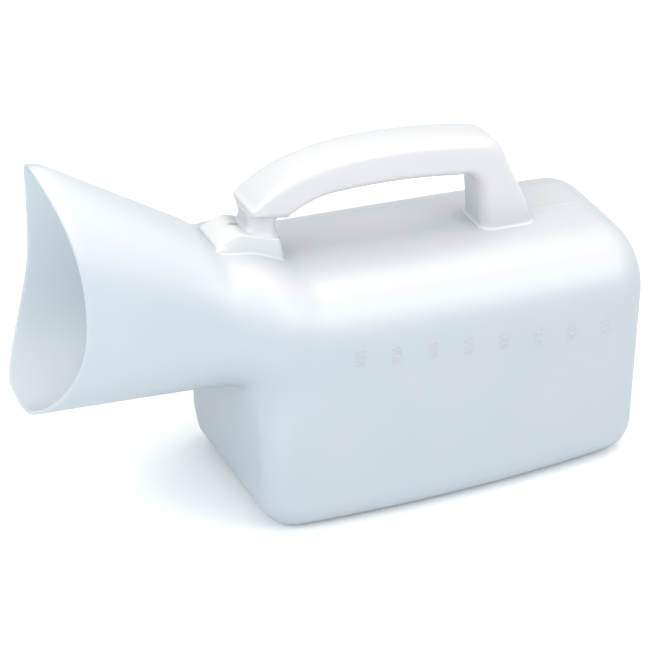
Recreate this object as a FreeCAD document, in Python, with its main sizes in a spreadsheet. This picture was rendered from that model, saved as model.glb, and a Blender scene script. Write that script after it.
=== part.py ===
"""Female urine bottle: a hollow blow-moulded bottle and its carrying handle.

Millimetres. The bottle lies on its flat base with the spout towards -X and the
wall it can also be stood on towards +X. Z is up, the base is at z = 0 and the
origin is under the middle of the overall length. The graduations are on the -Y side.
"""
import FreeCAD, Part
import math
import os
from types import SimpleNamespace

import Sketcher

V = FreeCAD.Vector
TINY = 0.01          # a length or a distance below this counts as nothing
CLEAR = 5.0          # how far a cutting shape runs past what it cuts
SECTION_POINTS = 40  # points interpolated round each section of the spout
LEFT, RIGHT = 1, -1  # which way an arc of an outline turns

# name, value (millimetres unless the meaning says otherwise), meaning
DIMENSIONS = [
    ("body_length", 157.0, "boxy body, front wall to rear wall"),
    ("spout_reach", 80.0, "front wall to the furthest point of the lower lip"),
    ("end_half_width", 38.6, "half width of the body at both ends"),
    ("base_bow", 6.0, "extra half width at mid length, at the base"),
    ("top_bow", 0.3, "extra half width at mid length, above the top"),
    ("front_height", 98.8, "height of the body at its front wall"),
    ("rear_height", 91.7, "height of the body at its rear wall"),
    ("top_round", 23.7, "radius of the long upper edges"),
    ("base_round", 12.6, "radius of the long lower edges"),
    ("end_round", 12.0, "radius round the front and rear walls"),
    ("wall", 1.3, "wall thickness"),
    ("crease_round", 9.0, "radius where the spout grows out of the body"),
    ("lip_height", 61.6, "height where the lower lip reaches furthest"),
    ("waist_out", 64.8, "side of the saddle rim, in front of the front wall"),
    ("waist_height", 104.5, "height of the side of the saddle rim"),
    ("rim_end_out", 75.3, "where the rim's curve ends, above the tip"),
    ("rim_end_height", 160.0, "its height there"),
    ("rim_low_radius", 68.0, "curvature of the rim below its waist"),
    ("rim_top_radius", 150.0, "curvature of the rim above its waist"),
    ("boss_width", 17.0, "block on the shoulder that carries the handle's stem"),
    ("boss_front_out", 7.0, "front foot of the block, in front of the front wall"),
    ("boss_front_height", 110.9, "its height there"),
    ("boss_crest_out", -1.2, "front of the block's sloping top"),
    ("boss_crest_height", 113.4, "its height there"),
    ("boss_back_out", -17.3, "rear of the block's sloping top"),
    ("boss_back_height", 107.9, "its height there"),
    ("boss_depth", 16.0, "how far the block's sides run down into the shoulder"),
    ("boss_lean", 2.0, "how far the block's rear face leans back going down"),
    ("boss_edge", 1.5, "radius of the block's upper edges"),
    ("stem_width", 12.4, "short stem between the block and the handle's nose"),
    ("stem_length", 10.4, "stem, front to back"),
    ("stem_set_back", 4.0, "stem front, behind the front of the block's top"),
    ("stem_rise", 9.0, "stem height, ending inside the nose"),
    ("grip_width", 19.0, "handle, side to side"),
    ("grip_edge", 4.0, "radius of the handle's outer edges"),
    ("grip_inner_edge", 4.0, "radius of the edges round the finger opening"),
    ("nose_out", -5.7, "front end of the handle, in front of the front wall"),
    ("nose_low", 118.9, "lower front corner of the nose"),
    ("nose_high", 121.5, "upper front corner of the nose"),
    ("heel_out", -20.2, "rear corner of the nose's sloping lower face"),
    ("heel_low", 114.9, "its height"),
    ("arch_front", 2.0, "where the underside of the grip levels out"),
    ("arch_front_height", 121.4, "its height"),
    ("arch_rear", 49.1, "rear of the grip's underside"),
    ("arch_rear_height", 118.3, "its height"),
    ("leg_front", 58.8, "front of the rear leg, at the top"),
    ("leg_front_height", 110.3, "its height"),
    ("foot_front", 60.3, "front of the rear leg's foot"),
    ("foot_rear", 82.3, "rear of the rear leg's foot"),
    ("shoulder_rear", 69.9, "top of the straight back of the leg"),
    ("shoulder_rear_height", 121.3, "its height"),
    ("shoulder_top", 59.9, "rear end of the grip's top"),
    ("shoulder_top_height", 131.2, "its height"),
    ("crown", 13.3, "highest place of the grip"),
    ("crown_height", 136.0, "its height"),
    ("brow", -13.3, "where the top starts to fall to the nose"),
    ("brow_height", 132.6, "its height"),
    ("arch_front_radius", 34.0, "underside behind the nose"),
    ("arch_radius", 240.0, "underside of the grip"),
    ("arch_rear_radius", 9.0, "corner between grip and leg"),
    ("shoulder_radius", 13.5, "rear corner of the handle"),
    ("crown_rear_radius", 215.0, "top of the grip, rear part"),
    ("crown_front_radius", 105.0, "top of the grip, front part"),
    ("brow_radius", 51.0, "top of the nose"),
    ("pad_width", 25.0, "low pad under the rear leg"),
    ("pad_margin", 3.0, "pad, past the foot in front and behind"),
    ("pad_rise", 1.0, "pad, above the body's top"),
    ("pad_edge", 0.8, "radius of the pad's upper edges"),
    ("mark_count", 8, "graduation marks (a number)"),
    ("mark_pitch", 14.4, "from one graduation mark to the next"),
    ("mark_first", 21.2, "rear wall to the first mark"),
    ("mark_height", 61.0, "middle of the first mark"),
    ("mark_climb", 1.5, "how much higher each next mark is"),
    ("mark_length", 8.0, "length of a mark"),
    ("mark_width", 0.9, "width of a mark"),
    ("mark_relief", 0.4, "how far a mark stands out of the wall"),
    ("mark_root", 0.8, "how deep a mark is rooted in the wall"),
]

# The spout's closed sections, from the one hidden in the body to the one the rim is cut from.
# The powers say how square a half section is: 2 and 2 make an ellipse.
SPOUT_PLACES = {
    "root": (-26.5, 37.6, 46.0, 72.0, 96.6, 2.6, 2.6, 3.6, 3.6),
    "neck": (11.5, 30.2, 52.8, 80.5, 110.4, 2.0, 2.0, 2.1, 2.1),
    "throat": (21.5, 29.5, 53.3, 82.5, 119.4, 2.0, 2.0, 2.3, 2.4),
    "flare": (53.5, 30.8, 55.1, 93.5, 141.0, 1.9, 2.3, 1.8, 2.5),
    "mouth": (87.5, 32.4, 57.2, 104.0, 164.0, 1.9, 2.4, 1.6, 2.6),
}
SPOUT_SIZES = [
    ("out", "in front of the front wall"),
    ("half_width", "half width"),
    ("low", "height of the underside"),
    ("wide", "height of the widest place"),
    ("top", "height of the top"),
    ("low_across", "power across, below the widest place"),
    ("low_upward", "power upwards, below the widest place"),
    ("top_across", "power across, above the widest place"),
    ("top_upward", "power upwards, above the widest place"),
]
DIMENSIONS += [
    (f"{place}_{key}", value, f"spout {place}, {meaning}")
    for place, values in SPOUT_PLACES.items()
    for (key, meaning), value in zip(SPOUT_SIZES, values)
]


class Size:
    """A length worked out from the sheet, as an expression and as a number."""

    def __init__(self, text, value):
        self.text = text
        self.value = value

    def _with(self, sign, other, value):
        text = other.text if isinstance(other, Size) else repr(other)
        return Size(f"({self.text} {sign} {text})", value)

    def __add__(self, other):
        return self._with("+", other, self.value + number(other))

    def __sub__(self, other):
        return self._with("-", other, self.value - number(other))

    def __mul__(self, other):
        return self._with("*", other, self.value * number(other))

    def __truediv__(self, other):
        return self._with("/", other, self.value / number(other))


def number(length):
    return length.value if isinstance(length, Size) else length


NO_GAP = Size("0", 0.0)


def make_sheet(doc):
    """The spreadsheet of driving dimensions, and the same values ready for sums."""
    sheet = doc.addObject("Spreadsheet::Sheet", "dims")
    sizes = {}
    for row, (name, value, meaning) in enumerate(DIMENSIONS, start=1):
        sheet.set(f"A{row}", name)
        sheet.set(f"B{row}", str(value))
        sheet.set(f"C{row}", meaning)
        sheet.setAlias(f"B{row}", name)
        sizes[name] = Size(f"dims.{name}", value)
    doc.recompute()
    return SimpleNamespace(**sizes)


# ---------------------------------------------------------------- sketches


def new_sketch(body, name, role, offset=None):
    """A sketch on one of the body's own planes, moved along its normal by offset."""
    sketch = body.newObject("Sketcher::SketchObject", name)
    plane = [p for p in body.Origin.OriginFeatures if p.Role == role][0]
    sketch.AttachmentSupport = [(plane, "")]
    sketch.MapMode = "FlatFace"
    if offset is not None:
        sketch.setExpression("AttachmentOffset.Base.z", offset.text)
    return sketch


def bind(sketch, name, kind, places, length):
    """A dimension of a sketch, bound to the sheet."""
    index = sketch.addConstraint(Sketcher.Constraint(kind, *places, length.value))
    sketch.renameConstraint(index, name)
    sketch.setExpression(f"Constraints.{name}", length.text)


def arc(centre, radius, start, end):
    circle = Part.Circle(V(*centre, 0), V(0, 0, 1), radius)
    return Part.ArcOfCircle(circle, start, end)


def line(start, end):
    return Part.LineSegment(V(*start, 0), V(*end, 0))


def arc_between(start, end, turn, radius):
    """The shorter arc from start to end, turning LEFT or RIGHT."""
    across, along = end[0] - start[0], end[1] - start[1]
    chord = math.hypot(across, along)
    reach = turn * math.sqrt(radius ** 2 - chord ** 2 / 4) / chord
    centre = ((start[0] + end[0]) / 2 - along * reach, (start[1] + end[1]) / 2 + across * reach)
    first, last = (start, end) if turn == LEFT else (end, start)
    angles = [math.atan2(p[1] - centre[1], p[0] - centre[0]) for p in (first, last)]
    return arc(centre, radius, *angles)


def side_outline(body, name, corners):
    """A closed outline seen from the side, anticlockwise in X and Z.

    Each corner is (x, z), or (x, z, turn, radius) where an arc leads to the next one.
    """
    sketch = new_sketch(body, name, "XZ_Plane")
    starts = []
    for i, (x, z, *bend) in enumerate(corners):
        after = corners[(i + 1) % len(corners)]
        ends = ((x.value, z.value), (after[0].value, after[1].value))
        if bend:
            sketch.addGeometry(arc_between(*ends, bend[0], bend[1].value))
            bind(sketch, f"radius_{i}", "Radius", (i,), bend[1])
        else:
            sketch.addGeometry(line(*ends))
        starts.append(2 if bend and bend[0] == RIGHT else 1)
    for i, (x, z, *bend) in enumerate(corners):
        before = i - 1 if i else len(corners) - 1
        sketch.addConstraint(Sketcher.Constraint("Coincident", before, 3 - starts[before], i, starts[i]))
        bind(sketch, f"x_{i}", "DistanceX", (-1, 1, i, starts[i]), x)
        bind(sketch, f"z_{i}", "DistanceY", (-1, 1, i, starts[i]), z)
    return sketch


def plan_outline(body, name, height, rear, length, half, bow):
    """The body seen from above: flat end walls and bowed sides."""
    sketch = new_sketch(body, name, "XY_Plane", height)
    run, w = length.value / 2, half.value
    middle = rear.value - run
    bowed = (length * length / 4 + bow * bow) / (bow * 2)
    radius = bowed.value
    spread = math.asin(run / radius)
    centre = radius - w - bow.value
    near, far = 1.5 * math.pi, 0.5 * math.pi
    sketch.addGeometry([
        arc((middle, centre), radius, near - spread, near + spread),
        line((middle + run, -w), (middle + run, w)),
        arc((middle, -centre), radius, far - spread, far + spread),
        line((middle - run, w), (middle - run, -w)),
    ])
    for i in range(4):
        sketch.addConstraint(Sketcher.Constraint("Coincident", i, 2, (i + 1) % 4, 1))
    for end_wall in (1, 3):
        sketch.addConstraint(Sketcher.Constraint("Symmetric", end_wall, 1, end_wall, 2, -1))
    sketch.addConstraint(Sketcher.Constraint("Equal", 1, 3))
    bind(sketch, "rear_place", "DistanceX", (-1, 1, 1, 1), rear)
    bind(sketch, "length", "DistanceX", (0, 1, 0, 2), length)
    bind(sketch, "width", "DistanceY", (1, 1, 1, 2), half * 2)
    for side in (0, 2):
        bind(sketch, f"bow_{side}", "Radius", (side,), bowed)
    return sketch


# ---------------------------------------------------------------- features


def edge_names(shape, test):
    return [f"Edge{i}" for i, edge in enumerate(shape.Edges, start=1) if test(edge)]


def body_fillet(body, name, base, edges, radius):
    feature = body.newObject("PartDesign::Fillet", name)
    feature.Base = (base, edges)
    feature.setExpression("Radius", radius.text)
    doc.recompute()
    return feature


def ruled_loft(body, name, sections):
    feature = body.newObject("PartDesign::AdditiveLoft", name)
    feature.Profile = (sections[0], [""])
    feature.Sections = [(section, [""]) for section in sections[1:]]
    feature.Ruled = True
    return feature


def cut_across(body, name, sketch):
    feature = body.newObject("PartDesign::Pocket", name)
    feature.Profile = (sketch, [""])
    feature.Type = "ThroughAll"
    feature.Midplane = True
    doc.recompute()
    return feature


def pad_across(body, name, sketch, width):
    """A pad of the given width, half of it on each side of the middle plane."""
    feature = body.newObject("PartDesign::Pad", name)
    feature.Profile = (sketch, [""])
    feature.Midplane = True
    feature.setExpression("Length", width.text)
    doc.recompute()
    return feature


def rounded_block(name, corners, width, edge, top_above):
    """A body padded across from a side outline, its edges above a height rounded."""
    body = doc.addObject("PartDesign::Body", name)
    block = pad_across(body, f"{name}_pad", side_outline(body, f"{name}_outline", corners), width)
    upper = edge_names(block.Shape, lambda e: e.BoundBox.ZMin > number(top_above))
    body_fillet(body, f"{name}_edges", block, upper, edge)
    return body


# ---------------------------------------------------------------- bottle


def body_top(x):
    """Height of the body's sloping top at x."""
    slope = (dims.front_height - dims.rear_height) / dims.body_length
    return dims.front_height - slope * (x - front)


def make_box(name, gap):
    """The boxy body with bowed sides, gap inside its outer surface."""
    body = doc.addObject("PartDesign::Body", f"{name}_body")
    back = rear - gap
    length = dims.body_length - gap * 2
    half = dims.end_half_width - gap
    above = dims.front_height + CLEAR
    block = ruled_loft(body, f"{name}_block", [
        plan_outline(body, f"{name}_base_plan", gap, back, length, half, dims.base_bow),
        plan_outline(body, f"{name}_top_plan", above, back, length, half, dims.top_bow),
    ])
    start, stop = front - CLEAR, rear + CLEAR
    top = cut_across(body, f"{name}_top", side_outline(body, f"{name}_top_outline", [
        (start, body_top(start) - gap), (stop, body_top(stop) - gap),
        (stop, above + CLEAR), (start, above + CLEAR),
    ]))

    def long_edges(shape, high):
        middle = dims.rear_height.value / 2
        return edge_names(shape, lambda e: e.BoundBox.XLength > 0.9 * length.value
                          and (e.BoundBox.ZMin > middle) == high)

    upper = body_fillet(body, f"{name}_upper", top, long_edges(top.Shape, True), dims.top_round - gap)
    lower = body_fillet(body, f"{name}_lower", upper, long_edges(upper.Shape, False), dims.base_round - gap)
    walls = edge_names(lower.Shape, lambda e: e.BoundBox.XLength < TINY)
    body_fillet(body, f"{name}_ends", lower, walls, dims.end_round - gap)
    return body


def spout_section(name, place, gap):
    """One closed section of the spout: two half superellipses joined where it is widest."""
    def size(key):
        return number(getattr(dims, f"{place}_{key}"))

    x = front.value - size("out")
    half = size("half_width") - gap.value
    wide = size("wide")
    halves = {
        "low": size("low") + gap.value - wide,
        "top": size("top") - gap.value - wide,
    }
    points = []
    for i in range(SECTION_POINTS):
        angle = 2 * math.pi * i / SECTION_POINTS - math.pi / 2
        across, up = math.cos(angle), math.sin(angle)
        part = "top" if up >= 0 else "low"
        y = half * math.copysign(abs(across) ** (2 / size(f"{part}_across")), across)
        z = wide + halves[part] * abs(up) ** (2 / size(f"{part}_upward"))
        points.append(V(x, y, z))
    curve = Part.BSplineCurve()
    curve.interpolate(points, PeriodicFlag=True)
    section = doc.addObject("Part::Feature", f"{name}_{place}")
    section.Shape = Part.Wire([curve.toShape()])
    return section


def reach_x(shape):
    """The lowest and the highest x of a face or an edge."""
    box = shape.optimalBoundingBox(False, False)
    return box.XMin, box.XMax


def make_skin(name, gap):
    """The bottle's body and spout in one solid, gap inside its outer surface."""
    spout = doc.addObject("Part::Loft", f"{name}_spout")
    spout.Sections = [spout_section(name, place, gap) for place in SPOUT_PLACES]
    spout.Solid = True
    joined = doc.addObject("Part::Fuse", f"{name}_joined")
    joined.Base = make_box(name, gap)
    joined.Tool = spout
    doc.recompute()
    ahead = front.value - CLEAR
    flared = next(face for face in joined.Shape.Faces if reach_x(face)[0] < ahead < reach_x(face)[1])
    crease = [edge for edge in flared.Edges if reach_x(edge)[0] > ahead]
    radius = number(dims.crease_round + gap)
    skin = doc.addObject("Part::Fillet", f"{name}_skin")
    skin.Base = joined
    skin.Edges = [(i, radius, radius) for i, edge in enumerate(joined.Shape.Edges, start=1)
                  if any(edge.isSame(other) for other in crease)]
    doc.recompute()
    return skin


def make_boss():
    """The block on the shoulder, with the sloping top that the handle's stem stands on."""
    front_foot = front - dims.boss_front_out
    crest = front - dims.boss_crest_out
    back = front - dims.boss_back_out
    return rounded_block("boss", [
        (front_foot, dims.boss_front_height - dims.boss_depth),
        (back + dims.boss_lean, dims.boss_back_height - dims.boss_depth),
        (back, dims.boss_back_height),
        (crest, dims.boss_crest_height),
        (front_foot, dims.boss_front_height),
    ], dims.boss_width, dims.boss_edge, dims.boss_back_height - dims.boss_edge)


def make_pad():
    """The low pad on the body's top that the rear leg stands on."""
    start = dims.foot_front - dims.pad_margin
    stop = dims.foot_rear + dims.pad_margin
    return rounded_block("pad", [
        (start, body_top(start) - dims.wall), (stop, body_top(stop) - dims.wall),
        (stop, body_top(stop) + dims.pad_rise), (start, body_top(start) + dims.pad_rise),
    ], dims.pad_width, dims.pad_edge, body_top(stop))


def make_mark(i):
    """Graduation mark number i, counted from the rear wall, standing out of the -Y side."""
    x = number(rear - dims.mark_first - dims.mark_pitch * i)
    height = number(dims.mark_height + dims.mark_climb * i)
    middle = number(rear - dims.body_length / 2)
    along = 1 - ((x - middle) / number(dims.body_length / 2)) ** 2
    lean = number((dims.base_bow - dims.top_bow) / (dims.front_height + CLEAR)) * along
    side = number(dims.end_half_width) + number(dims.base_bow) * along - lean * height
    mark = doc.addObject("Part::Box", f"mark_{i + 1}")
    mark.setExpression("Length", dims.mark_width.text)
    mark.setExpression("Width", (dims.mark_root + dims.mark_relief).text)
    mark.setExpression("Height", dims.mark_length.text)
    corner = V(x - number(dims.mark_width) / 2, -side - number(dims.mark_relief),
               height - number(dims.mark_length) / 2)
    turn = FreeCAD.Rotation(V(1, 0, 0), -math.degrees(math.atan(lean)))
    pivot = V(0, number(dims.mark_relief), number(dims.mark_length) / 2)
    mark.Placement = FreeCAD.Placement(corner, turn, pivot)
    return mark


def make_rim_cutter():
    """Everything in front of the saddle-shaped rim: furthest back at both sides of the mouth."""
    body = doc.addObject("PartDesign::Body", "rim_cutter")
    lip = front - dims.spout_reach
    beyond = front - dims.mouth_out - CLEAR
    below, above = dims.mouth_low - CLEAR, dims.mouth_top + CLEAR
    sketch = side_outline(body, "rim_cutter_outline", [
        (beyond, below), (lip, below), (lip, dims.lip_height, LEFT, dims.rim_low_radius),
        (front - dims.waist_out, dims.waist_height, LEFT, dims.rim_top_radius),
        (front - dims.rim_end_out, dims.rim_end_height), (front - dims.rim_end_out, above), (beyond, above),
    ])
    pad_across(body, "rim_cutter_pad", sketch, (dims.mouth_half_width + CLEAR) * 2)
    return body


def make_bottle():
    raised = doc.addObject("Part::MultiFuse", "raised")
    marks = [make_mark(i) for i in range(number(dims.mark_count))]
    raised.Shapes = [make_skin("outer", NO_GAP), make_boss(), make_pad(), *marks]
    hollow = doc.addObject("Part::Cut", "hollow")
    hollow.Base = raised
    hollow.Tool = make_skin("cavity", dims.wall)
    bottle = doc.addObject("Part::Cut", "bottle")
    bottle.Base = hollow
    bottle.Tool = make_rim_cutter()
    bottle.Label = "bottle_shell"
    return bottle


# ---------------------------------------------------------------- handle


def make_stem(body):
    """The stem that joins the nose of the handle to the block on the shoulder."""
    slope = (dims.boss_crest_height - dims.boss_back_height) / (dims.boss_crest_out - dims.boss_back_out)
    start = front - dims.boss_crest_out + dims.stem_set_back
    stop = start + dims.stem_length
    low_start = dims.boss_crest_height - slope * dims.stem_set_back
    low_stop = low_start - slope * dims.stem_length
    sketch = side_outline(body, "stem_outline", [
        (start, low_start), (stop, low_stop),
        (stop, low_stop + dims.stem_rise), (start, low_start + dims.stem_rise),
    ])
    return pad_across(body, "stem", sketch, dims.stem_width)


def edges_through(shape, side, corners):
    """The edges in either side face whose two ends are both among the side-view corners."""
    def is_corner(vertex):
        return any(math.hypot(vertex.X - x.value, vertex.Z - z.value) < TINY for x, z in corners)

    return edge_names(shape, lambda e: e.BoundBox.YLength < TINY and abs(abs(e.BoundBox.Center.y) - side) < TINY
                      and all(is_corner(vertex) for vertex in e.Vertexes))


def make_handle():
    """The handle: arched grip, nose and rear leg as one rounded bar, and the stem."""
    body = doc.addObject("PartDesign::Body", "grip")
    heel = (front - dims.heel_out, dims.heel_low)
    arch_front = (dims.arch_front, dims.arch_front_height)
    arch_rear = (dims.arch_rear, dims.arch_rear_height)
    leg_front = (dims.leg_front, dims.leg_front_height)
    foot_front = (dims.foot_front, body_top(dims.foot_front) + dims.pad_rise)
    foot_rear = (dims.foot_rear, body_top(dims.foot_rear) + dims.pad_rise)
    shoulder_rear = (dims.shoulder_rear, dims.shoulder_rear_height)
    shoulder_top = (dims.shoulder_top, dims.shoulder_top_height)
    crown = (dims.crown, dims.crown_height)
    brow = (dims.brow, dims.brow_height)
    nose_high = (front - dims.nose_out, dims.nose_high)
    nose_low = (front - dims.nose_out, dims.nose_low)
    sketch = side_outline(body, "grip_outline", [
        (*heel, RIGHT, dims.arch_front_radius),
        (*arch_front, RIGHT, dims.arch_radius),
        (*arch_rear, RIGHT, dims.arch_rear_radius),
        leg_front,
        foot_front,
        foot_rear,
        (*shoulder_rear, LEFT, dims.shoulder_radius),
        (*shoulder_top, LEFT, dims.crown_rear_radius),
        (*crown, LEFT, dims.crown_front_radius),
        (*brow, LEFT, dims.brow_radius),
        nose_high,
        nose_low,
    ])
    bar = pad_across(body, "grip_pad", sketch, dims.grip_width)
    side = dims.grip_width.value / 2
    outside = edges_through(bar.Shape, side, (foot_rear, shoulder_rear, shoulder_top, crown, brow, nose_high))
    rounded = body_fillet(body, "grip_outer_edges", bar, outside, dims.grip_edge)
    inside = edges_through(rounded.Shape, side, (heel, arch_front, arch_rear, leg_front, foot_front))
    body_fillet(body, "grip_inner_edges", rounded, inside, dims.grip_inner_edge)
    make_stem(body)
    body.Label = "handle"
    return body


def check(doc):
    """Stops the script if any object of the document failed to build."""
    broken = [o.Name for o in doc.Objects if "Invalid" in o.State or "Error" in o.State]
    if broken:
        raise RuntimeError(f"objects that did not build: {broken}")


def export(part):
    if part.Shape.isNull() or not part.Shape.isValid():
        raise RuntimeError(f"{part.Label} has no valid shape")
    part.Shape.exportStep(f"parts/{part.Label}.step")


doc = FreeCAD.newDocument("urine_bottle")
dims = make_sheet(doc)
rear = (dims.body_length + dims.spout_reach) / 2
front = rear - dims.body_length
sub_parts = [make_bottle(), make_handle()]
doc.recompute()
check(doc)
os.makedirs("parts", exist_ok=True)
for sub_part in sub_parts:
    export(sub_part)
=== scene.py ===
"""Looks of the female urine bottle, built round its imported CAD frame.

Shapes are worked out in millimetres in the frame's own axes (spout towards -X, figures on the
-Y side, flat base at z = 0) and become metres when a mesh is made.
"""
import math

import bpy
import numpy as np
from mathutils import Matrix, Vector


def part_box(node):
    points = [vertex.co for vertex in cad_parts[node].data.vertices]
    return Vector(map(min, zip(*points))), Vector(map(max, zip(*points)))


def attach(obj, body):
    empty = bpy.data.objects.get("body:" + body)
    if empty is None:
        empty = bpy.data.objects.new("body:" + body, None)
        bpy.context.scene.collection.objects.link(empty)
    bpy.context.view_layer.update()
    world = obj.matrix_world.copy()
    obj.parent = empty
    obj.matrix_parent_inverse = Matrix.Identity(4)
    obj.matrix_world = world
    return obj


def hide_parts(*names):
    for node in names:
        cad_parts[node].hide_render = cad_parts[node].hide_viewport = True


MM = 0.001
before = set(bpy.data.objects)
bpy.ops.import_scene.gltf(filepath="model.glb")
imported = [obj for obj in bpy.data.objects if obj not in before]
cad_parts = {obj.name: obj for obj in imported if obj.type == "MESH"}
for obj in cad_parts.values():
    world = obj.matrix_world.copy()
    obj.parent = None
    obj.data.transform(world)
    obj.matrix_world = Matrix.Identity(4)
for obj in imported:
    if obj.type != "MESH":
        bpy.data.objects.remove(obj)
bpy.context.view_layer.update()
shell_low, shell_high = (np.array(corner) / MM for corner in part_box("bottle_shell"))
grip_low, grip_high = (np.array(corner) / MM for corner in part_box("handle"))

# ------------------------------------------------------------------ sizes of the bottle

REAR = shell_high[0]          # rear wall
BODY_LENGTH = 157.0
FRONT = REAR - BODY_LENGTH    # front wall, below the spout
MIDDLE = (REAR + FRONT) / 2
END_HALF = 38.6               # half width at both ends
BASE_BOW = shell_high[1] - END_HALF - 0.1
TOP_BOW = 1.0
FRONT_HEIGHT = 98.8
REAR_HEIGHT = 91.7
TOP_ROUND = 23.7
BASE_ROUND = 11.5
END_ROUND = 14.4              # round the rear wall, and along the front of the base
FRONT_ROUND = 7.0             # upright edges of the front wall, under the spout
SHOULDER_ROUND = 21.5         # the same edges beside the spout
WALL = 1.4
THROAT = FRONT - 16.5         # narrowest place of the spout
THROAT_HALF = 29.4
SPOUT_ROOT = FRONT + 26.5     # the spout's surface goes on inside the body as far as this
WAIST = FRONT - 64.8          # furthest back place of the rim
WAIST_HEIGHT = 104.5
TIP_HEIGHT = shell_high[2] + 0.5   # the rounded tip stands slightly above the CAD's cut one
LIP = shell_low[0]
LIP_HEIGHT = 61.6
CREASE_LOW = 6.0              # blend between spout and body, underneath and on the shoulder
CREASE_HIGH = 22.0
CREASE_END = 1.0              # the same blend where the spout ends inside the body
COLUMNS = 180                 # points round the bottle

# the block on the shoulder, under the handle's nose
CREST = FRONT + 1.2           # where its top is highest
CREST_HEIGHT = 113.4
BLOCK_FALL = 0.343            # slope of its top towards the rear


def smooth_max(a, b, reach):
    """The larger of a and b, with the corner between them rounded over reach."""
    width = 1.5 * reach
    share = np.maximum(width - np.abs(a - b), 0) / width
    return np.maximum(a, b) + width * share ** 3 / 6


def smooth_min(a, b, reach):
    """The smaller of a and b, with the corner between them rounded over reach."""
    return -smooth_max(-a, -b, reach)


def ease(value, start, end):
    """0 up to start and 1 from end on, changing gently in between."""
    share = np.clip((value - start) / (end - start), 0, 1)
    return share * share * (3 - 2 * share)


def body_top(x):
    """Height of the body's top, which falls towards the rear."""
    return FRONT_HEIGHT + (REAR_HEIGHT - FRONT_HEIGHT) * (x - FRONT) / BODY_LENGTH


def body_field(x, y, z):
    """Roughly the distance outside the boxy body, negative inside it."""
    along = (x - MIDDLE) / (BODY_LENGTH / 2)
    bow = np.maximum(1 - along ** 2, 0) * (BASE_BOW + (TOP_BOW - BASE_BOW) * z / REAR_HEIGHT)
    half_height = body_top(x) / 2
    corner = np.where(z > half_height, TOP_ROUND, BASE_ROUND)
    across = np.abs(y) - END_HALF - bow + corner
    upwards = np.abs(z - half_height) - half_height + corner
    section = rounded_corner(across, upwards, corner)
    front_edge = END_ROUND + (FRONT_ROUND - END_ROUND) * ease(z, 6, 20)
    shoulder = ease(z, 36, 64)
    front_edge = front_edge + (SHOULDER_ROUND - FRONT_ROUND) * shoulder
    edge = np.where(x < MIDDLE, front_edge, END_ROUND)
    gentle = np.where(x < MIDDLE, 2 + 0.6 * shoulder, 2)
    lengthwise = np.abs(x - MIDDLE) - BODY_LENGTH / 2 + edge
    return rounded_corner(section + edge, lengthwise, edge, gentle)


def rounded_corner(a, b, radius, power=2.0):
    """Distance to a rounded edge; a power above 2 lets the rounding start more gently."""
    a_side, b_side = np.maximum(a, 0.0), np.maximum(b, 0.0)
    corner = (a_side ** power + b_side ** power) ** (1 / power)
    return np.minimum(np.maximum(a, b), 0.0) + corner - radius


def spout_sizes(x):
    """Half width, underside, widest height and top of the spout at x, and its section's powers."""
    x = np.minimum(x, SPOUT_ROOT)
    ahead = THROAT - x
    flare = np.clip(ahead / (THROAT - WAIST), 0, 1.6)
    widening = np.clip(-ahead / (SPOUT_ROOT - THROAT), 0, 1)
    half = THROAT_HALF + 2.0 * flare ** 1.5 + 8.2 * widening ** 1.6
    low = 53.1 + 0.055 * ahead
    wide = 81.0 + 0.208 * ahead + 7.5 * flare ** 1.5
    ridge = 114.3 + 0.666 * (-52.0 - x) - 0.05 * np.maximum(x + 53.5, 0) ** 2
    top = smooth_max(97.9 + 0.38 * (FRONT + 19.5 - x), ridge, 3.0)
    top = smooth_min(top, TIP_HEIGHT - 0.1, 2.5)
    across_powers = 2.0 - 0.1 * flare + 0.6 * widening ** 2, 2.4 - 0.8 * flare + 1.0 * widening ** 2
    upward_powers = 2.0 + 0.4 * flare + 0.6 * widening ** 2, 2.4 + 0.2 * flare + 1.0 * widening ** 2
    return half, low, wide, top, across_powers, upward_powers


def rim(z):
    """Where the saddle-shaped rim is at height z: furthest back at the waist."""
    rise = z - WAIST_HEIGHT
    above, below = np.maximum(rise, 0), np.minimum(rise, 0)
    forward = 8.3 * (above / 47.0) ** 2.5 + 13.9 * (below / 42.9) ** 2
    return np.maximum(WAIST - forward, LIP) + WALL / 2


def spout_field(x, y, z):
    """Roughly the distance outside the spout, negative inside it."""
    half, low, wide, top, across_powers, upward_powers = spout_sizes(x)
    rise = z - wide
    reach = np.where(rise > 0, top - wide, wide - low)
    across = np.where(rise > 0, across_powers[1], across_powers[0])
    upward = np.where(rise > 0, upward_powers[1], upward_powers[0])
    fullness = (np.abs(y) / half) ** across + (np.abs(rise) / reach) ** upward
    ratio = np.maximum(fullness, 1e-6) ** (2 / (across + upward))
    return np.hypot(y, rise) * (1 - 1 / ratio)


def field(x, y, z):
    """Roughly the distance outside the whole bottle: body and spout blended together."""
    reach = CREASE_LOW + (CREASE_HIGH - CREASE_LOW) * ease(z, 54, 88)
    reach = CREASE_END + (reach - CREASE_END) * ease(SPOUT_ROOT - x, 0, 24)
    spout = np.maximum(spout_field(x, y, z), x - SPOUT_ROOT)
    return smooth_min(body_field(x, y, z), spout, reach)


def field_normal(points, step=0.05):
    """Outward direction of the field at each point."""
    slopes = []
    for axis in range(3):
        offset = np.zeros(3)
        offset[axis] = step
        ahead, behind = points + offset, points - offset
        slopes.append(field(*np.moveaxis(ahead, -1, 0)) - field(*np.moveaxis(behind, -1, 0)))
    normal = np.stack(slopes, -1)
    return normal / np.linalg.norm(normal, axis=-1, keepdims=True)


def shoot(path, near, far, rounds=36):
    """Points where the bottle's surface crosses the rays path(r), r between near and far."""
    for _ in range(rounds):
        middle = (near + far) / 2
        outside = field(*path(middle)) > 0
        far = np.where(outside, middle, far)
        near = np.where(outside, near, middle)
    return np.stack(path((near + far) / 2), -1)


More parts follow.
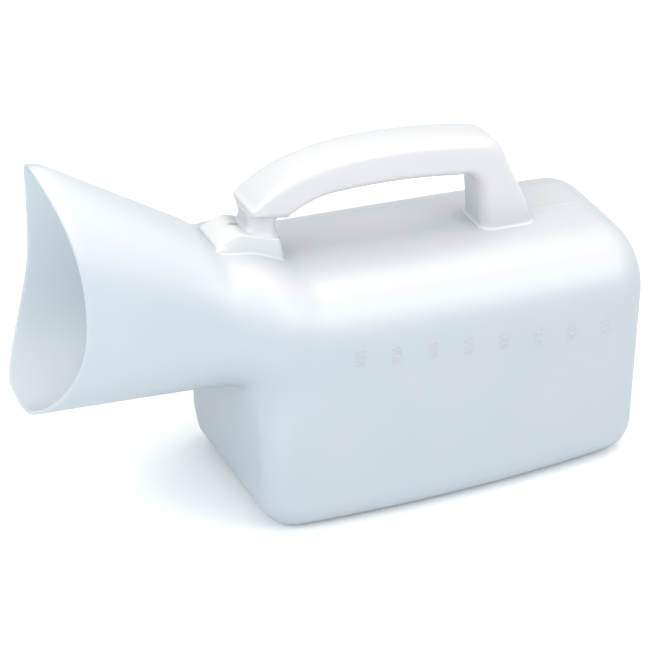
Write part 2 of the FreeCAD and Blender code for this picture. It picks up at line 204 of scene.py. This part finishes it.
# ------------------------------------------------------------------ the bottle's skin


def spread(stops, counts):
    """Values through the stops, with so many steps between each two."""
    parts = [np.linspace(a, b, n, endpoint=False) for a, b, n in zip(stops, stops[1:], counts)]
    return np.concatenate([*parts, stops[-1:]])


def smooth_through(values, steps):
    """A smooth curve through rows of values, with that many steps between each two."""
    values = np.array(values, float)
    padded = np.vstack([2 * values[0] - values[1], values, 2 * values[-1] - values[-2]])
    rows = []
    for i in range(len(values) - 1):
        a, b, c, d = padded[i:i + 4]
        for t in np.arange(steps) / steps:
            rows.append(0.5 * (2 * b + (c - a) * t + (2 * a - 5 * b + 4 * c - d) * t ** 2
                               + (3 * b - a - 3 * c + d) * t ** 3))
    return np.array(rows + [values[-1]])


def skin_rings():
    """Rings of points on the bottle's outside, from the middle of the rear wall to the rim."""
    angle = np.arange(COLUMNS) * 2 * math.pi / COLUMNS
    cosine, sine = np.cos(angle), np.sin(angle)
    near, far = np.zeros(COLUMNS), np.full(COLUMNS, 110.0)
    hub_x, hub_z = REAR - 45.0, REAR_HEIGHT / 2
    rings = []
    for tilt in np.radians(spread([2.0, 32.0, 62.0, 90.0], [6, 26, 7]))[:-1]:

        def fan(r):
            out = r * math.sin(tilt)
            return hub_x + r * math.cos(tilt), out * cosine, hub_z + out * sine

        rings.append(shoot(fan, near, far))
    # guiding rings from the hub to the rim: how far its lowest point is behind the front wall
    # and its height, the same for its highest point, and how much of the rim's curve it follows
    guides = [
        (hub_x - FRONT, 0, hub_x - FRONT, 93, 0), (88.5, 0, 88.5, 94, 0), (63.5, 0, 63.5, 96, 0),
        (43.5, 0, 41.5, 97, 0), (28.5, 0, 32.5, 97.3, 0), (14.5, 0, 24.5, 97.8, 0),
        (4.2, 4.2, 18.5, 98.6, 0), (0, 14.4, 13.5, 100, 0), (0, 25, 9.5, 102, 0),
        (0, 36, 6.5, 103, 0), (0, 45, 3, 104, 0), (-0.7, 49.5, -0.5, 106, 0),
        (-3.5, 51, -4.5, 107.5, 0), (-10.5, 52, -10.5, 110, 0.03), (-19.5, 53, -19.5, 115.5, 0.15),
        (-31.5, 54, -30.5, 124, 0.4), (-44.5, 55, -43.5, 133, 0.7), (-55.5, 56, -55, 141, 0.9),
        (WAIST - FRONT, LIP_HEIGHT, WAIST - FRONT, TIP_HEIGHT, 1),
    ]
    for low_behind, low_z, high_behind, high_z, share in smooth_through(guides, 5):
        centre = (max(low_z, 0) + high_z) / 2

        def curtain(r):
            z = centre + r * sine
            fall = np.clip((high_z - z) / (high_z - low_z), 0, 1.2)
            behind = high_behind + (low_behind - high_behind) * fall ** 4
            return FRONT + behind + share * (rim(z) - WAIST), r * cosine, z

        rings.append(shoot(curtain, near, far))
    return rings


def ring_faces(count, columns):
    """Quads between neighbouring closed rings."""
    faces = []
    for i in range(count - 1):
        for j in range(columns):
            k = (j + 1) % columns
            a, b = i * columns, (i + 1) * columns
            faces.append((a + j, b + j, b + k, a + k))
    return faces


def make_piece(name, points, faces, slot, stands_for=None):
    """A smooth-shaded mesh piece on the root body from points in millimetres."""
    mesh = bpy.data.meshes.new(name)
    mesh.from_pydata([tuple(p) for p in np.asarray(points) * MM], [], faces)
    mesh.validate()
    mesh.polygons.foreach_set("use_smooth", [True] * len(mesh.polygons))
    piece = bpy.data.objects.new(name, mesh)
    bpy.context.scene.collection.objects.link(piece)
    mesh.materials.append(MATERIALS[slot])
    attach(piece, "root")
    if stands_for:
        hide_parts(stands_for)
    return piece


def closed_rings(name, rings, slot, stands_for=None):
    """A closed piece from a stack of rings, with both end rings filled in."""
    columns = len(rings[0])
    faces = ring_faces(len(rings), columns)
    last = (len(rings) - 1) * columns
    faces.append(tuple(range(columns)))
    faces.append(tuple(last + j for j in reversed(range(columns))))
    return make_piece(name, np.concatenate(rings), faces, slot, stands_for)


def make_shell():
    """The whole hollow wall: outside, rounded lip and inside."""
    outer = skin_rings()
    inner = [ring - WALL * field_normal(ring) for ring in outer]
    edge = outer[-1]
    outward = field_normal(edge)
    forward = edge - outer[-2]
    forward -= outward * (forward * outward).sum(-1, keepdims=True)
    forward /= np.linalg.norm(forward, axis=-1, keepdims=True)
    lip = []
    for turn in np.radians([25, 55, 90, 125, 155]):
        sideways, onward = 1 - math.cos(turn), math.sin(turn)
        lip.append(edge + WALL / 2 * (forward * onward - outward * sideways))
    shell = closed_rings("bottle_wall", outer + lip + inner[::-1], "translucent_plastic", "bottle_shell")
    # the inside wall's plastic is painted lighter, standing in for light coming through the wall
    shell.data.materials.append(MATERIALS["inside"])
    first_inside = (len(outer) + len(lip) - 1) * COLUMNS
    for polygon in shell.data.polygons:
        polygon.material_index = int(min(polygon.vertices) >= first_inside)
    return shell


def surface_above(x, y):
    """Height of the bottle's skin at x and y, seen from above."""
    x, y = np.asarray(x, float), np.asarray(y, float)
    points = shoot(lambda r: (x, y, r), np.full(x.shape, 70.0), np.full(x.shape, 175.0))
    return points[..., 2]


def surface_beside(x, z):
    """y of the bottle's skin on the side of the figures."""
    x, z = np.asarray(x, float), np.asarray(z, float)
    points = shoot(lambda r: (x, -r, z), np.full(x.shape, 5.0), np.full(x.shape, 60.0))
    return points[..., 1]


# ------------------------------------------------------------------ block, handle and stem


def rounded_plan(low_x, high_x, half, radius, grow=0.0, points=96):
    """A rounded rectangle seen from above, grown outwards by grow."""
    radius = max(radius + grow, 0.2)
    angle = (np.arange(points) + 0.5) * 2 * math.pi / points
    reach_x = (high_x - low_x) / 2 + grow - radius
    reach_y = half + grow - radius
    # the same number of points round each corner, and the rest along the sides
    quarter = np.floor(angle / (math.pi / 2)).astype(int)
    within = angle / (math.pi / 2) - quarter
    turn = (quarter + np.clip((within - 0.25) * 2, 0, 1)) * math.pi / 2
    side_x = np.sign(np.cos((quarter + 0.5) * math.pi / 2))
    side_y = np.sign(np.sin((quarter + 0.5) * math.pi / 2))
    x = side_x * reach_x + radius * np.cos(turn)
    y = side_y * reach_y + radius * np.sin(turn)
    # the half quarters outside the corner slide along the straight sides
    first, last = np.clip(within * 4, 0, 1), np.clip((within - 0.75) * 4, 0, 1)
    even = quarter % 2 == 0
    x = np.where(even, np.where(within > 0.75, x * (1 - last), x), np.where(within < 0.25, x * first, x))
    y = np.where(even, np.where(within < 0.25, y * first, y), np.where(within > 0.75, y * (1 - last), y))
    return np.stack([(low_x + high_x) / 2 + x, y], -1)


def block_top(x):
    """Height of the block's top behind its crest, where the stem stands."""
    return CREST_HEIGHT - BLOCK_FALL * (x - CREST)


def make_block():
    """The block on the shoulder: sloping top, ramp down to the neck, sides that run into the skin."""
    front, back = CREST - 9.4, CREST + 16.2
    half, upright = 8.5, 1.3
    ramp_slope, crest_round = 0.36, 0.4
    rings = []
    for grow, drop in [(-7.5, 0), (-4, 0), (-2, 0), (-1.1, 0.02), (-0.6, 0.12), (-0.2, 0.42), (0, 0.95)]:
        plan = rounded_plan(front, back, half, upright, grow)
        ramp = CREST_HEIGHT - ramp_slope * (CREST - plan[:, 0])
        top = smooth_min(ramp, block_top(plan[:, 0]), crest_round)
        rings.append(np.column_stack([plan, top - drop]))
    brink = rings[-1][:, 2] - 0.02                   # the sides start just under the top's edge
    sides = [(1.3, 1.5), (1.45, 0.7), (1.65, 0.25), (1.95, 0.05), (2.5, -0.4)]
    # a hidden underside follows the skin, just below it
    hidden = [(1.0, -0.7), (-1.5, -0.7), (-4.0, -0.7), (-7.5, -0.7)]
    for grow, rise in sides + hidden:
        plan = rounded_plan(front, back, half, upright, grow)
        plan[:, 0] = np.maximum(plan[:, 0], front - 0.2 * grow)
        skin = surface_above(plan[:, 0], plan[:, 1])
        rings.append(np.column_stack([plan, np.minimum(skin + rise, brink)]))
    block = closed_rings("stem_block", rings, "translucent_plastic")
    # the block gets the thick, whiter plastic; the shade on its sides is painted in that plastic's side colour
    block.data.materials[0] = MATERIALS["thick"]
    return block


def arc_points(start, end, radius, turn, steps):
    """Points of the arc from start to end; turn is 1 to the left, -1 to the right, 0 straight."""
    start, end = np.array(start, float), np.array(end, float)
    share = np.arange(steps) / steps
    if turn == 0:
        return start + (end - start) * share[:, None]
    along = end - start
    chord = np.hypot(*along)
    across = np.array([-along[1], along[0]]) / chord * turn
    centre = (start + end) / 2 + across * math.sqrt(radius ** 2 - chord ** 2 / 4)
    first = math.atan2(*(start - centre)[::-1])
    sweep = 2 * math.asin(chord / (2 * radius)) * turn
    angle = first + sweep * share
    return centre + radius * np.stack([np.cos(angle), np.sin(angle)], -1)


def grip_section(high, low, half, high_round, low_round, crown):
    """One closed ring of the handle between its top and underside points, both (x, z)."""
    middle, lean = (high + low) / 2, (high - low) / 2
    tall = np.hypot(*lean)
    up = lean / tall
    corner_points, flat_steps = 8, 5
    # side, up or down, first direction in degrees and radius of each corner, anticlockwise
    corners = [
        (1, -1, -90, low_round), (1, 1, 0, high_round),
        (-1, 1, 90, high_round), (-1, -1, 180, low_round),
    ]
    ring = []
    for side_y, side_z, begin, radius in corners:
        radius = min(radius, tall * 0.92)
        for turn in np.radians(begin + np.linspace(0, 90, corner_points)):
            ring.append((side_y * (half - radius) + radius * math.cos(turn),
                         side_z * (tall - radius) + radius * math.sin(turn)))
    ring = np.array(ring)
    dense = []
    for i, point in enumerate(ring):
        after = ring[(i + 1) % len(ring)]
        steps = flat_steps if i % corner_points == corner_points - 1 else 1
        dense += [point + (after - point) * k / steps for k in range(steps)]
    dense = np.array(dense)
    bulge = crown * (1 - (dense[:, 0] / half) ** 2) * (dense[:, 1] > 0)
    height = dense[:, 1] + bulge
    return np.column_stack([middle[0] + up[0] * height, dense[:, 0], middle[1] + up[1] * height])


def handle_chains():
    """Matching points (x, z) along the handle's top and underside, from the nose to the foot."""
    def at(along, below):
        return grip_low[0] + along, grip_high[2] - below

    rear_x, front_x = grip_high[0], grip_low[0] + 93.9
    clear = 1.0                                      # the legs end this far above the body
    foot_rear = (rear_x, body_top(rear_x) + clear)
    foot_front = (front_x, body_top(front_x) + clear)
    brow, crown, rear_top, rear_back = at(19.5, 3.4), at(46.1, 0.0), at(92.7, 4.8), at(102.7, 14.7)
    heel, arch_front = at(14.5, 21.1), at(34.8, 14.6)
    arch_rear, leg_front = at(81.9, 17.7), at(92.3, 25.7)
    # each stretch: start, end, radius and turn of its top, the same underneath, and its steps
    legs = [
        (at(1.5, 14.1), brow, 51, -1, at(1.2, 16.9), heel, 1, 0, 16),
        (brow, crown, 105, -1, heel, arch_front, 34, -1, 14),
        (crown, rear_top, 215, -1, arch_front, arch_rear, 240, -1, 14),
        (rear_top, rear_back, 13.5, -1, arch_rear, leg_front, 9, -1, 12),
        (rear_back, foot_rear, 1, 0, leg_front, foot_front, 1, 0, 12),
    ]
    highs, lows = [], []
    for high_a, high_b, high_r, high_turn, low_a, low_b, low_r, low_turn, steps in legs:
        highs.append(arc_points(high_a, high_b, high_r, high_turn, steps))
        lows.append(arc_points(low_a, low_b, low_r, low_turn, steps))
    return np.concatenate(highs), np.concatenate(lows)


def make_grip():
    """The handle from its rounded nose, over the arch, down the rear leg to its flared foot."""
    highs, lows = handle_chains()
    half = (grip_high[1] - grip_low[1]) / 2
    edge, corner = 1.3, 3.0                          # nose: radius seen from the side, and from above

    def narrowing(reach):
        return corner - math.sqrt(corner ** 2 - max(corner - reach, 0) ** 2)

    rings = []
    middle, lean = (highs[0] + lows[0]) / 2, (highs[0] - lows[0]) / 2
    for turn in np.radians([10, 30, 50, 70]):
        tall = lean * math.sin(turn)
        width = half - narrowing(edge * (1 - math.cos(turn)))
        ring = grip_section(middle + tall, middle - tall, width, 1.2, 1.2, 0)
        ring[:, 0] -= edge * math.cos(turn)
        rings.append(ring)
    nose_rings = 16                                  # the crisp edges of the nose soften over these
    for i, (high, low) in enumerate(zip(highs, lows)):
        soft = min(i / nose_rings, 1)
        width = half - narrowing(edge + high[0] - highs[0][0])
        rings.append(grip_section(high, low, width, 1.4 + 3.2 * soft, 1.0 + 3.6 * soft, 0.1 + 0.7 * soft))
    foot = rings.pop()
    reach = foot[:, :2] - foot[:, :2].mean(0)
    outward = np.clip(1.6 * reach / np.abs(reach).max(0), -1, 1)
    for grow, rise in [(0.05, 1.7), (0.2, 0.8), (0.45, 0.35), (0.8, 0.1), (1.3, -0.4)]:
        plan = foot[:, :2] + grow * outward
        rings.append(np.column_stack([plan, surface_above(plan[:, 0], plan[:, 1]) + rise]))
    return closed_rings("grip", rings, "white_plastic", "handle")


def make_stem():
    """The short neck between the block on the shoulder and the underside of the nose."""
    front, back, half, corner = grip_low[0] + 0.6, grip_low[0] + 11.6, 6.6, 3.0
    nose_height, nose_fall = grip_high[2] - 17.1, 0.276
    # how far each ring stands out, and its share of the way from the block up to the nose
    profile = [
        (1.6, -0.12), (1.1, 0.02), (0.6, 0.12), (0.2, 0.28),
        (0, 0.5), (0.2, 0.75), (0.7, 0.95), (1.0, 1.2),
    ]
    rings = []
    for grow, share in profile:
        plan = rounded_plan(front, back, half, corner, grow)
        low = block_top(plan[:, 0])
        high = nose_height - nose_fall * (plan[:, 0] - grip_low[0])
        rings.append(np.column_stack([plan, low + (high - low) * share]))
    return closed_rings("stem", rings[::-1], "white_plastic")


# ------------------------------------------------------------------ figures and seam


def make_figures():
    """Raised figures 100 to 800, read with the bottle standing on its rear wall."""
    count, first, pitch = 8, REAR - 21.2, 14.4
    height, climb, tall = 61.0, 1.5, 5.0
    points, faces = [], []
    for i in range(count):
        curve = bpy.data.curves.new("figure", "FONT")
        curve.body = str(100 * (i + 1))
        curve.size = tall
        curve.align_x = "CENTER"
        curve.align_y = "CENTER"
        curve.extrude = 0.06
        curve.bevel_depth = 0.10
        curve.bevel_resolution = 1
        curve.offset = -0.04
        curve.resolution_u = 4
        text = bpy.data.objects.new("figure", curve)
        bpy.context.scene.collection.objects.link(text)
        bpy.context.view_layer.update()
        evaluated = text.evaluated_get(bpy.context.evaluated_depsgraph_get())
        mesh = bpy.data.meshes.new_from_object(evaluated)
        local = np.array([v.co for v in mesh.vertices])
        x = first - pitch * i - local[:, 1]
        z = height + climb * i + local[:, 0]
        start = len(points)
        points += list(np.column_stack([x, surface_beside(x, z) - local[:, 2], z]))
        faces += [tuple(start + v for v in polygon.vertices) for polygon in mesh.polygons]
        bpy.data.objects.remove(text)
        bpy.data.meshes.remove(mesh)
        bpy.data.curves.remove(curve)
    return make_piece("graduation_figures", points, faces, "translucent_plastic")


def make_seam():
    """The fine mould seam on the middle plane, behind the handle and down the rear wall."""
    hub_x, hub_z = REAR - 60.0, 35.0
    angles = np.radians(np.linspace(84, -20, 90))
    profile = [(-0.8, -0.15), (-0.35, 0.12), (0, 0.22), (0.35, 0.12), (0.8, -0.15)]
    points = []
    for angle in angles:
        for y, rise in profile:

            def path(r):
                return hub_x + r * math.cos(angle), np.full(1, y), hub_z + r * math.sin(angle)

            spot = shoot(path, np.zeros(1), np.full(1, 90.0))
            points.append((spot + rise * field_normal(spot))[0])
    width = len(profile)
    faces = []
    for i in range(len(angles) - 1):
        for j in range(width):
            k = (j + 1) % width
            a, b = i * width, (i + 1) * width
            faces.append((a + j, a + k, b + k, b + j))
    faces.append(tuple(range(width))[::-1])
    faces.append(tuple((len(angles) - 1) * width + j for j in range(width)))
    return make_piece("mould_seam", points, faces, "translucent_plastic")


# ------------------------------------------------------------------ materials


class Nodes:
    """Short names for building a node material."""

    def __init__(self, name):
        self.material = bpy.data.materials.new(name)
        self.material.use_nodes = True
        self.tree = self.material.node_tree
        self.tree.nodes.clear()

    def add(self, kind, settings=None, **inputs):
        """A new node; an underscore in an input's name stands for a space."""
        node = self.tree.nodes.new("ShaderNode" + kind)
        for key, value in (settings or {}).items():
            setattr(node, key, value)
        for key, value in inputs.items():
            self.feed(node.inputs[key.replace("_", " ")], value)
        return node

    def feed(self, socket, value):
        """Give a socket a value, or link it to another node's output."""
        if isinstance(value, bpy.types.NodeSocket):
            self.tree.links.new(value, socket)
        else:
            socket.default_value = value

    def mix(self, share, a, b):
        """The colour that is a, b or in between, by share."""
        node = self.add("Mix", {"data_type": "RGBA"})
        for index, value in ((0, share), (6, a), (7, b)):
            self.feed(node.inputs[index], value)
        return node.outputs[2]

    def math(self, operation, a, b=0.0):
        """A sum, product or power of a and b."""
        node = self.add("Math", {"operation": operation})
        self.feed(node.inputs[0], a)
        self.feed(node.inputs[1], b)
        return node.outputs[0]

    def finish(self, shader):
        """The material, with this shader on its surface."""
        self.add("OutputMaterial", Surface=shader)
        return self.material


def plastic(name, top, side, edge, rough, thin):
    """Moulded plastic with fine grain and faint scuffs.

    top, side and edge are its colours facing up, sideways and at a grazing angle: painted light
    and shade for how the studio light falls on it. rough is the roughness, and thin the share of light that
    passes through.
    """
    n = Nodes(name)
    place = n.add("TexCoord").outputs["Object"]
    clouds = n.add("TexNoise", Vector=place, Scale=28.0, Detail=3.0, Roughness=0.55).outputs["Fac"]
    # painted light and shade: faces turned up get the top colour and faces turned sideways the side colour,
    # with a little random cloudiness mixed in
    upward = n.add("SeparateXYZ", Vector=n.add("NewGeometry").outputs["Normal"]).outputs["Z"]
    sideways = n.add("MapRange", {"interpolation_type": "SMOOTHSTEP"}, Value=upward,
                     From_Min=0.15, From_Max=0.85, To_Min=1.0, To_Max=0.0).outputs[0]
    share = n.math("ADD", n.math("MULTIPLY", sideways, 0.85), n.math("MULTIPLY", clouds, 0.15))
    facing_shade_and_clouds = n.mix(share, top, side)
    # painted shade at a grazing angle: towards the outline the colour turns to the darker, bluer edge colour
    facing = n.add("LayerWeight", Blend=0.25).outputs["Facing"]
    tint_with_painted_shade = n.mix(n.math("POWER", facing, 3.0), facing_shade_and_clouds, edge)
    peel = n.add("TexNoise", Vector=place, Scale=900.0, Detail=2.0, Roughness=0.5).outputs["Fac"]
    long_marks = n.add("Mapping", Vector=place, Scale=(60.0, 900.0, 900.0), Rotation=(0.0, 0.5, 0.4)).outputs[0]
    scuffs = n.add("TexNoise", Vector=long_marks, Scale=1.0, Detail=4.0, Roughness=0.7).outputs["Fac"]
    worn = n.math("MULTIPLY", n.math("POWER", scuffs, 4.0), 0.12)
    roughness = n.math("ADD", n.math("MULTIPLY", clouds, 0.10), n.math("ADD", worn, rough - 0.08))
    grain = n.add("Bump", Height=peel, Strength=0.04, Distance=0.00012).outputs[0]
    surface = n.add("BsdfPrincipled", Base_Color=tint_with_painted_shade, Roughness=roughness, IOR=1.5, Normal=grain)
    glow = n.add("BsdfTranslucent", Color=tint_with_painted_shade, Normal=grain)
    both = n.add("MixShader", Fac=thin)
    n.feed(both.inputs[1], surface.outputs[0])
    n.feed(both.inputs[2], glow.outputs[0])
    return n.finish(both.outputs[0])


def make_materials():
    """The four plastics; milky ones let light through, most of all on the thin inside wall."""
    # The top, side and edge colours are painted light and shade; on the outer plastics the top is lighter and
    # the side and edge darker and bluer
    return {
        "translucent_plastic": plastic(
            "milky_plastic", top=(0.78, 0.775, 0.78, 1), side=(0.55, 0.605, 0.65, 1),
            edge=(0.37, 0.47, 0.52, 1), rough=0.34, thin=0.30),
        # thick: whiter plastic where the wall is thick; its darker side colour is painted shade
        "thick": plastic(
            "milky_plastic_thick", top=(0.75, 0.75, 0.75, 1), side=(0.60, 0.615, 0.635, 1),
            edge=(0.50, 0.55, 0.58, 1), rough=0.35, thin=0.10),
        # inside: the milky plastic painted much lighter, standing in for light that comes through the wall,
        # besides its real translucency (thin)
        "inside": plastic(
            "milky_plastic_inside_painted_lighter", top=(0.86, 0.90, 0.91, 1), side=(0.86, 0.90, 0.92, 1),
            edge=(0.66, 0.76, 0.80, 1), rough=0.45, thin=0.50),
        "white_plastic": plastic(
            "white_plastic", top=(0.64, 0.64, 0.64, 1), side=(0.54, 0.54, 0.555, 1),
            edge=(0.40, 0.44, 0.47, 1), rough=0.35, thin=0.0),
    }


# ------------------------------------------------------------------ floor, light and camera


def make_floor():
    """A plain pale floor, just under the bottle's base."""
    mesh = bpy.data.meshes.new("floor")
    reach = 6.0
    corners = [(-reach, -reach, 0), (reach, -reach, 0), (reach, reach, 0), (-reach, reach, 0)]
    mesh.from_pydata(corners, [], [(0, 1, 2, 3)])
    floor = bpy.data.objects.new("floor", mesh)
    bpy.context.scene.collection.objects.link(floor)
    n = Nodes("pale_floor")
    place = n.add("TexCoord").outputs["Object"]
    mottle = n.add("TexNoise", Vector=place, Scale=5.0, Detail=2.0).outputs["Fac"]
    tone = n.mix(mottle, (0.94, 0.94, 0.94, 1), (0.97, 0.97, 0.97, 1))
    mesh.materials.append(n.finish(n.add("BsdfDiffuse", Color=tone).outputs[0]))
    floor.location.z = -0.0002


def add_light(name, direction, distance, width, height, watts, colour):
    """A rectangular light that shines on the bottle from this direction."""
    data = bpy.data.lights.new(name, "AREA")
    data.shape = "RECTANGLE"
    data.size, data.size_y = width, height
    data.energy = watts
    data.color = colour
    light = bpy.data.objects.new(name, data)
    bpy.context.scene.collection.objects.link(light)
    aim = Vector((0, 0, 0.06))
    towards = Vector(direction).normalized()
    light.location = aim + towards * distance
    light.rotation_mode = "QUATERNION"
    light.rotation_quaternion = (-towards).to_track_quat("-Z", "Y")


def add_sun(name, direction, strength, spread_degrees):
    """Very soft light from this direction."""
    data = bpy.data.lights.new(name, "SUN")
    data.energy = strength
    data.angle = math.radians(spread_degrees)
    sun = bpy.data.objects.new(name, data)
    bpy.context.scene.collection.objects.link(sun)
    sun.rotation_mode = "QUATERNION"
    sun.rotation_quaternion = (-Vector(direction)).to_track_quat("-Z", "Y")


def make_world():
    """White overhead, faintly blue towards the horizon."""
    world = bpy.data.worlds.new("studio")
    world.use_nodes = True
    tree = world.node_tree
    background = tree.nodes["Background"]
    background.inputs["Strength"].default_value = 0.68
    direction = tree.nodes.new("ShaderNodeTexCoord")
    split = tree.nodes.new("ShaderNodeSeparateXYZ")
    ramp = tree.nodes.new("ShaderNodeValToRGB")
    ramp.color_ramp.elements[0].position = 0.15
    ramp.color_ramp.elements[0].color = (0.80, 0.92, 1.0, 1)
    ramp.color_ramp.elements[1].position = 0.7
    ramp.color_ramp.elements[1].color = (1.0, 1.0, 1.0, 1)
    tree.links.new(direction.outputs["Generated"], split.inputs[0])
    tree.links.new(split.outputs["Z"], ramp.inputs[0])
    tree.links.new(ramp.outputs[0], background.inputs[0])
    bpy.context.scene.world = world


def make_studio():
    """The soft lights round the bottle."""
    make_world()
    add_sun("overall", (0.10, -0.15, 1.0), 0.9, 110)
    add_light("key", (0.50, -0.66, 0.52), 1.5, 0.6, 0.9, 6.0, (1, 0.99, 0.98))
    add_light("overhead", (0.35, 0.05, 0.94), 1.3, 0.9, 0.6, 5.3, (1, 1, 1))
    add_light("front fill", (-0.82, -0.42, 0.55), 1.3, 0.9, 0.8, 8.6, (0.95, 0.98, 1))
    scene = bpy.context.scene
    scene.view_settings.view_transform = "Standard"
    scene.view_settings.look = "None"
    scene.view_settings.exposure = 0.0


def make_camera():
    """The camera in front of the bottle, a little to the spout's side and above."""
    azimuth, elevation, roll = (math.radians(a) for a in (-25.164, 31.298, 1.276))
    target, distance = Vector((0.0008, 0.0, 0.0622)), 1.03682
    level = math.cos(elevation)
    back = Vector((math.sin(azimuth) * level, -math.cos(azimuth) * level, math.sin(elevation)))
    right = Vector((math.cos(azimuth), math.sin(azimuth), 0))
    up = back.cross(right)
    level_right = math.cos(roll) * right + math.sin(roll) * up
    level_up = -math.sin(roll) * right + math.cos(roll) * up
    data = bpy.data.cameras.new("camera")
    data.sensor_width = 36.0
    data.lens = 155.08
    data.clip_end = 50
    camera = bpy.data.objects.new("camera", data)
    bpy.context.scene.collection.objects.link(camera)
    turn = Matrix((level_right, level_up, back)).transposed().to_4x4()
    camera.matrix_world = Matrix.Translation(target + back * distance) @ turn
    bpy.context.scene.camera = camera


MATERIALS = make_materials()
make_shell()
make_block()
make_grip()
make_stem()
make_figures()
make_seam()
make_floor()
make_studio()
make_camera()
